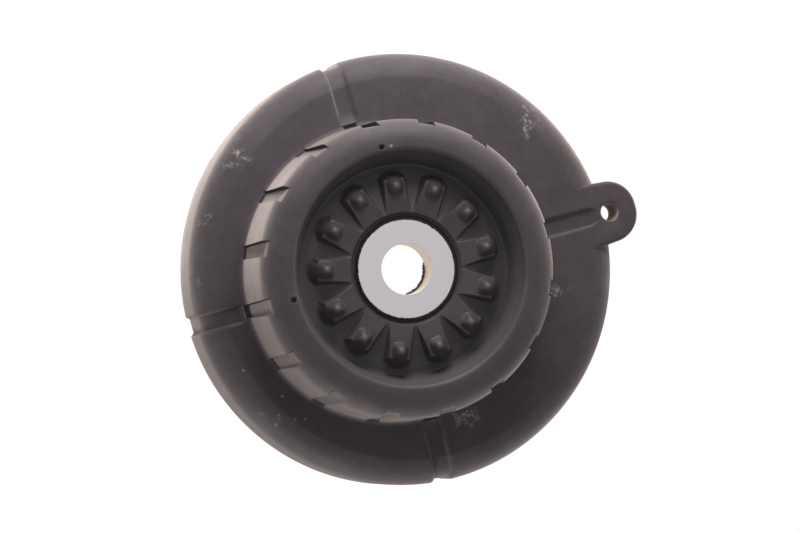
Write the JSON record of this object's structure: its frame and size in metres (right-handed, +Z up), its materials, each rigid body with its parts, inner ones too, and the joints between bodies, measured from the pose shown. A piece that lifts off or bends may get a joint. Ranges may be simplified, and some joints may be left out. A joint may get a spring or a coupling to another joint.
{
  "type": "strut mount",
  "caption": "Round moulded rubber strut mount: offset flange with grooves and a holed ear, notched boss with a toothed cup, and a bonded steel bush whose bore takes the strut's rod.",
  "frame": {"origin": "middle of the steel bush's bore, on the strut rod's axis", "axes": "+Z up along the bore towards the toothed cup, +X from the bore towards the ear, flat base towards -Z"},
  "size_m": [0.1292, 0.121, 0.05],
  "materials": {
    "rubber": "matte moulded rubber",
    "steel": "fine machined"
  },
  "bodies": {
    "root": {"rubber_body": "rubber", "steel_bush": "steel"}
  },
  "joints": []
}
